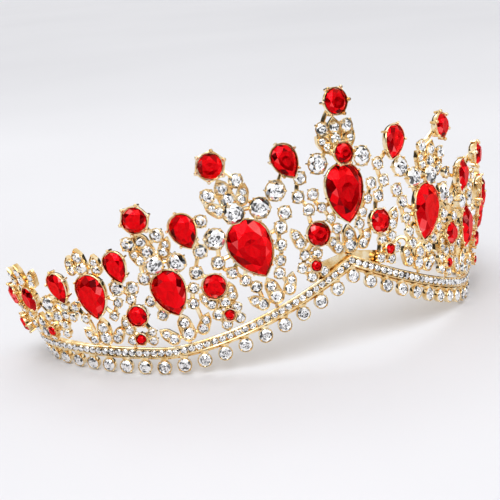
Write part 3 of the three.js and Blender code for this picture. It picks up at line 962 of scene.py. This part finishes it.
def band_section():
    """A rail along each edge, a channel between them and a narrower back."""
    half = BAND_HEIGHT / 2
    back = half - BAND_INSET
    rail_x = BAND_FRONT - BAND_RAIL
    rail_y = half - BAND_RAIL
    floor_y = half - 2 * BAND_RAIL
    section = [(BAND_BACK, -back), (0.3, -back), (0.7, -half)]
    section += rounded(rail_x, -rail_y, BAND_RAIL, -90, 90)
    section += [(BAND_FLOOR, -floor_y), (BAND_FLOOR, floor_y)]
    section += rounded(rail_x, rail_y, BAND_RAIL, -90, 90)
    section += [(0.7, half), (0.3, back), (BAND_BACK, back)]
    return section


def gusset(gold, reach):
    """One half of the plate behind the point of the band."""
    corners = [(reach, band_rise(reach)), (0, PEAK_HEIGHT), (0, PLATE_TOP), (reach, PLATE_END)]
    gold.rings([[place(u, w, off) for u, w in corners] for off in (BAND_BACK, PLATE_FRONT)])


def band_row(gold, stones):
    """The row of clear stones in the channel, with two small balls between each two of them."""
    count = int((HALF_LENGTH - BAND_ROW_END) / BAND_STONE_PITCH)
    for i in range(-count, count + 1):
        u = i * BAND_STONE_PITCH
        cut = (round_outline(BAND_STONE, 5, 0.4 * i), 0)
        heights = (BAND_STONE_GIRDLE, BAND_STONE_CROWN, BAND_STONE_BACK)
        cut_stone(stones, cut, *heights, stand_on_band(u), SMALL_TABLE)
        if i < count:
            between = stand_on_band(u + BAND_STONE_PITCH / 2)
            for y in (-BAND_BALL_REACH, BAND_BALL_REACH):
                gold.ball((0, y, BAND_BALL_FRONT), BAND_BALL, between)


def end_loop(gold, side):
    """A ring past the end of the band, to tie or pin the crown by."""
    matrix = stand(side * HALF_LENGTH, 0) @ Matrix.Translation((side * LOOP_REACH, 0, 0))
    steps = 28
    sides = 8
    rings = []
    for i in range(steps):
        angle = 2 * math.pi * i / steps
        ring = []
        for k in range(sides):
            turned = 2 * math.pi * k / sides
            reach = LOOP_RADIUS + LOOP_WIDTH * math.cos(turned)
            point = (reach * math.cos(angle), reach * math.sin(angle), LOOP_DEPTH * math.sin(turned))
            ring.append(point)
        rings.append(ring)
    gold.rings(rings, matrix, looped=True)


def drop(gold, stones, u, turned):
    """A drop of the fringe: a stone in a deep cup with four balls, under a wedge-shaped neck."""
    matrix = stand(u, band_rise(u) - DROP_FALL)
    radius = DROP_RADIUS - DROP_WALL
    rim = DROP_GIRDLE + 0.14
    cut = (round_outline(2 * radius, 8, turned), 0)
    cut_stone(stones, cut, DROP_GIRDLE, DROP_CROWN, DROP_STONE_BACK, matrix, CLEAR_TABLE)
    profile = [
        (radius * 0.5, -1), (radius * 0.85, -1), (radius + 0.05, -0.6), (radius + 0.22, DROP_GIRDLE - 0.4),
        (radius + 0.28, DROP_GIRDLE), (radius + 0.22, rim), (radius + 0.08, rim),
        (radius + 0.02, DROP_GIRDLE - 0.1), (radius * 0.7, -0.3),
    ]
    gold.lathe(profile, 18, matrix)
    reach = radius + PRONG_SEAT
    for k in range(4):
        angle = math.pi * (0.25 + 0.5 * k)
        gold.ball((reach * math.cos(angle), reach * math.sin(angle), DROP_GIRDLE + 0.18), DROP_BALL, matrix)
    neck = DROP_FALL - BAND_HEIGHT / 2 - GAP - 0.35
    wedge = []
    for y, half, front in ((1.3, 0.6, 0.8), (neck - 0.3, 1.15, 1), (neck + 0.45, 1.35, 0.9)):
        corners = [(-half, -0.7), (half, -0.7), (half, front - 0.4), (0, front), (-half, front - 0.4)]
        wedge.append([Vector((x, y, z)) for x, z in corners])
    gold.rings(wedge, matrix)


def make_band():
    band_gold = Shape()
    band_stones = Shape()
    along_band(band_gold, band_section())
    for side in (-1, 1):
        gusset(band_gold, side * PLATE_REACH)
    band_row(band_gold, band_stones)
    for side in (-1, 1):
        end_loop(band_gold, side)
    band_piece = band_gold.make("band_metal", GOLD, SMOOTH_ANGLE)
    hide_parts("band")
    row = band_stones.make("band_stones", CLEAR)
    paint_facet_reflections(row, "band")


def make_fringe():
    fringe_gold = Shape()
    fringe_stones = Shape()
    rail_y = -BAND_HEIGHT / 2 - GAP - 0.1
    along_band(fringe_gold, rounded(-0.25, rail_y, FRINGE_RAIL, 0, 315, 7))
    for i in range(-DROPS_PER_SIDE, DROPS_PER_SIDE + 1):
        drop(fringe_gold, fringe_stones, i * DROP_PITCH, 0.3 * i)
    fringe_piece = fringe_gold.make("fringe_metal", GOLD, SMOOTH_ANGLE)
    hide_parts("drop_fringe")
    drops = fringe_stones.make("fringe_stones", CLEAR)
    paint_facet_reflections(drops, "fringe")


# ---- Floor, light and camera ----
def make_floor(height):
    material, tree, shader = new_material("pale_floor")
    tone = ramp(tree, noise(tree, 3), [(0.3, (0.72, 0.72, 0.75)), (0.7, (0.76, 0.76, 0.79))])
    tree.links.new(tone, shader.inputs["Base Color"])
    shader.inputs["Roughness"].default_value = 0.6
    work = bmesh.new()
    bmesh.ops.create_circle(work, cap_ends=True, radius=8, segments=64)
    mesh = bpy.data.meshes.new("floor")
    work.to_mesh(mesh)
    work.free()
    mesh.materials.append(material)
    floor = bpy.data.objects.new("floor", mesh)
    floor.location.z = height
    bpy.context.scene.collection.objects.link(floor)
    floor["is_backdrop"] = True


def make_world():
    """A studio dome: a bright top, a pale horizon and a darker band between them to give the metal
    and the facets something to show."""
    world = bpy.data.worlds.new("studio")
    bpy.context.scene.world = world
    world.use_nodes = True
    tree = world.node_tree
    direction = tree.nodes.new("ShaderNodeTexCoord")
    split = tree.nodes.new("ShaderNodeSeparateXYZ")
    tree.links.new(direction.outputs["Generated"], split.inputs["Vector"])
    stops = [
        (0, (0.8, 0.8, 0.83)), (0.05, (0.75, 0.75, 0.78)), (0.1, (0.03, 0.03, 0.03)),
        (0.36, (0.04, 0.04, 0.04)), (0.43, (1.1, 1.1, 1.1)), (1, (1, 1, 1)),
    ]
    colour = ramp(tree, split.outputs["Z"], stops)
    background = tree.nodes["Background"]
    tree.links.new(colour, background.inputs["Color"])
    background.inputs["Strength"].default_value = 0.9


def add_light(kind, name, location, energy, size, target):
    """A sun, with its angle as size, or an area light, with its width and height."""
    data = bpy.data.lights.new(name, kind)
    data.energy = energy
    if kind == "SUN":
        data.angle = size
    else:
        data.shape = "RECTANGLE"
        data.size, data.size_y = size
    light = bpy.data.objects.new(name, data)
    light.location = location
    light.rotation_euler = (target - Vector(location)).to_track_quat("-Z", "Y").to_euler()
    bpy.context.scene.collection.objects.link(light)


CAMERA_AZIMUTH = -0.5078
CAMERA_ELEVATION = 0.2424
CAMERA_ROLL = -0.0803
CAMERA_DISTANCE = 0.441
CAMERA_LENS = 96.7
CAMERA_AIM = Vector((-0.0145, 0.0005, -0.01336))  # from the middle of the CAD's box, in metres


def make_camera(target):
    away = Vector((
        math.sin(CAMERA_AZIMUTH) * math.cos(CAMERA_ELEVATION),
        -math.cos(CAMERA_AZIMUTH) * math.cos(CAMERA_ELEVATION),
        math.sin(CAMERA_ELEVATION),
    ))
    right = (-away).cross(Vector((0, 0, 1))).normalized()
    up = right.cross(-away)
    turned_right = right * math.cos(CAMERA_ROLL) + up * math.sin(CAMERA_ROLL)
    turned_up = up * math.cos(CAMERA_ROLL) - right * math.sin(CAMERA_ROLL)
    data = bpy.data.cameras.new("camera")
    data.lens = CAMERA_LENS
    data.sensor_width = 36
    data.clip_start, data.clip_end = 0.01, 50
    camera = bpy.data.objects.new("camera", data)
    axes = Matrix((turned_right, turned_up, away)).transposed().to_4x4()
    camera.matrix_world = Matrix.Translation(target + away * CAMERA_DISTANCE) @ axes
    bpy.context.scene.collection.objects.link(camera)
    bpy.context.scene.camera = camera


make_frames()
make_band()
make_fringe()
middle = (cad_box[0] + cad_box[1]) / 2
make_floor(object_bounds()[0].z)
make_world()
add_light("SUN", "sun", (-0.5, -0.6, 1.2), 1.1, math.radians(40), Vector((0, 0, 0)))
add_light("AREA", "key", (-0.45, -0.55, 0.5), 0.7, (0.25, 0.25), middle)
add_light("AREA", "fill", (0.5, -0.4, 0.25), 0.4, (0.15, 0.35), middle)
add_light("AREA", "back", (0.1, 0.5, 0.55), 0.6, (0.4, 0.15), middle)
make_camera(middle + CAMERA_AIM)
bpy.context.scene.view_settings.view_transform = "Standard"
